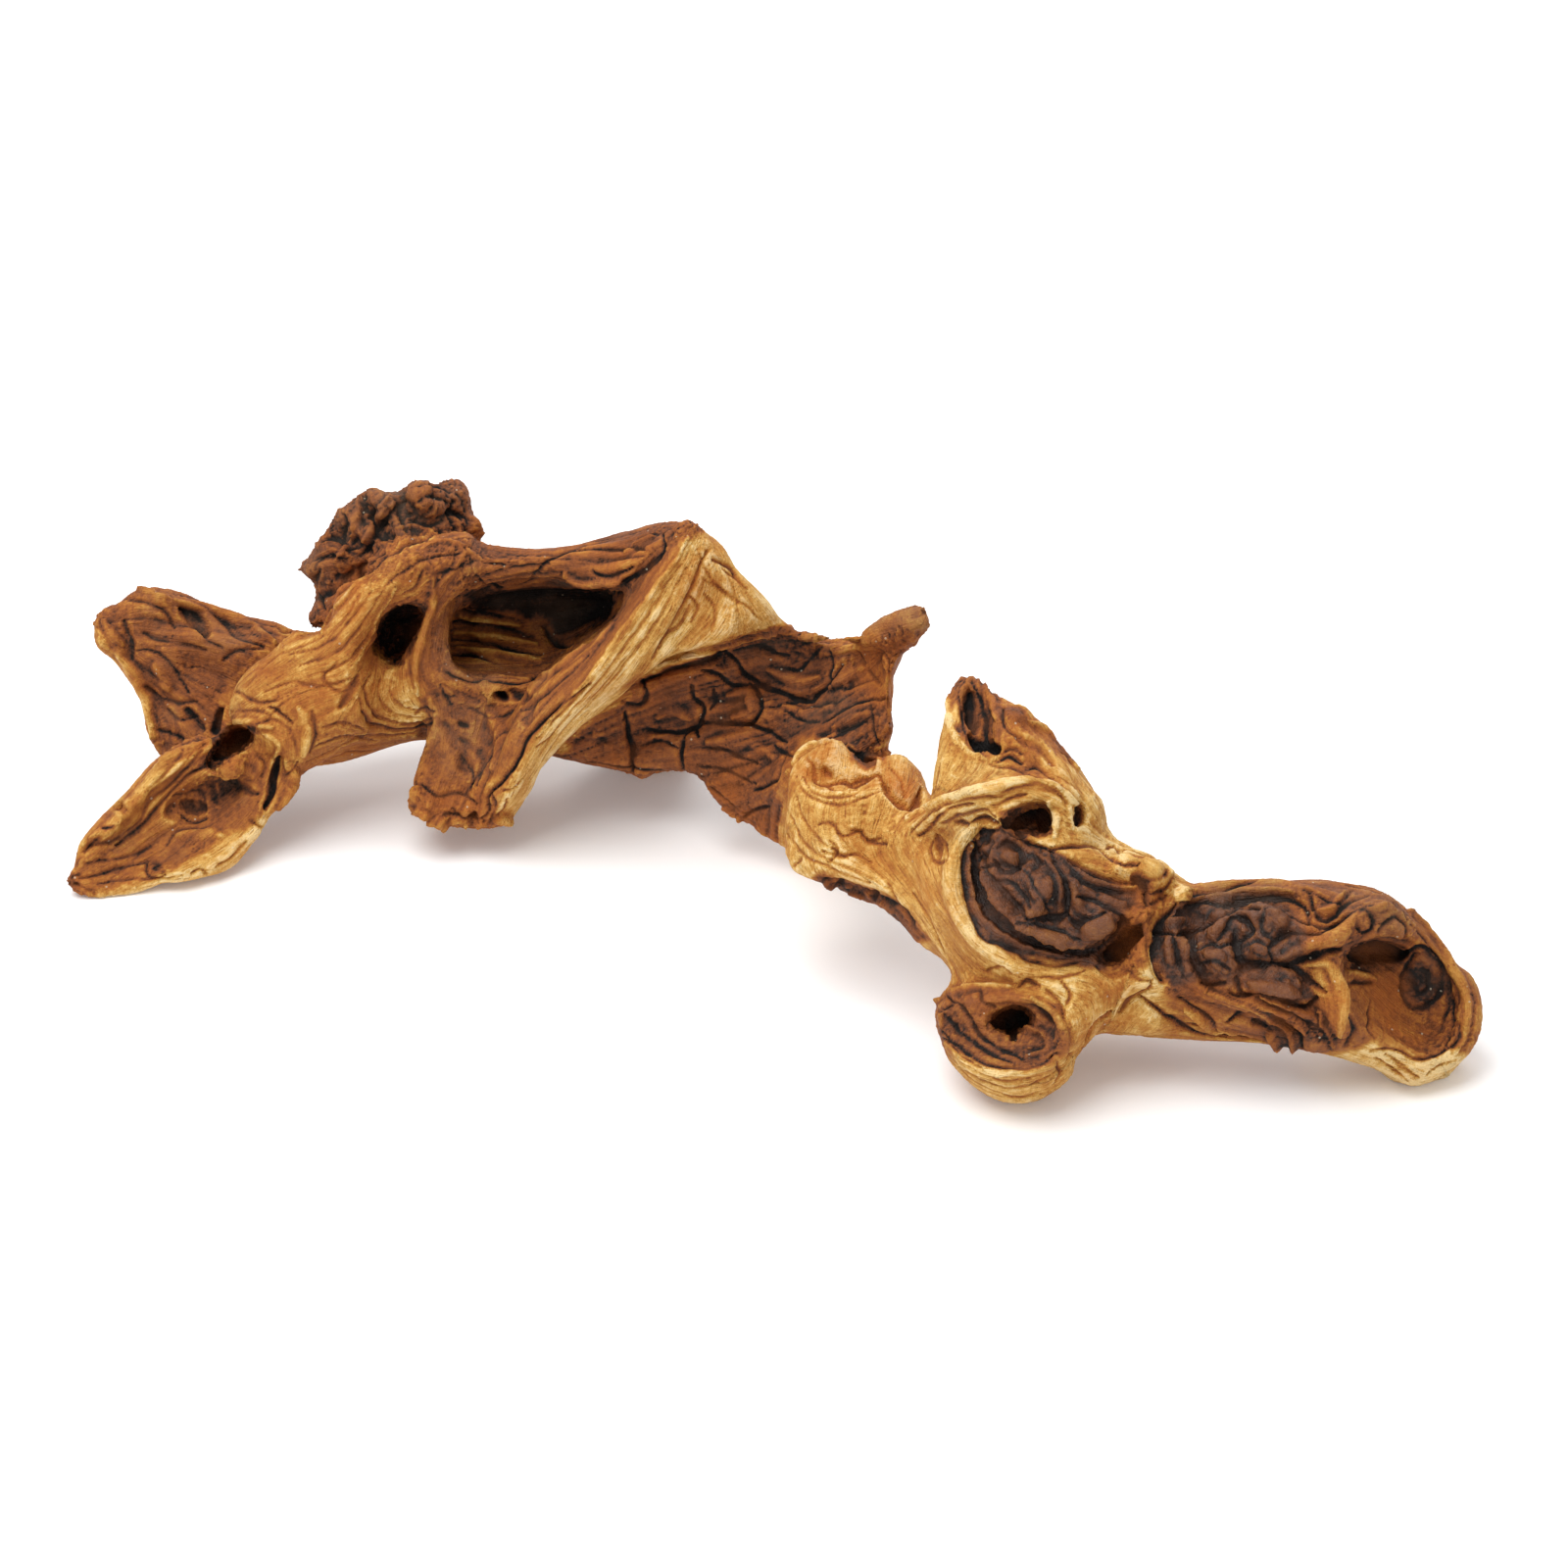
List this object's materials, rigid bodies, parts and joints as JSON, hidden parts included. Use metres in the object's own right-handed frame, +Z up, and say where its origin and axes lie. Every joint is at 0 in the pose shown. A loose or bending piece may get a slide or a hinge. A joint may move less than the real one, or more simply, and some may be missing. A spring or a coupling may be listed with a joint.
{
  "type": "mopani root",
  "caption": "Gnarled mopani root that lies as a low arch, with a hollow log, a crest, a stump, burls and a spoon-shaped end.",
  "frame": {"origin": "middle of the root's outline on the surface it lies on", "axes": "+X along the root towards its burled end, +Y away from the side that shows the hollow log, +Z up"},
  "size_m": [0.4544, 0.2422, 0.1209],
  "materials": {
    "wood": "weathered"
  },
  "bodies": {
    "root": {"mopani_root": "wood"}
  },
  "joints": []
}
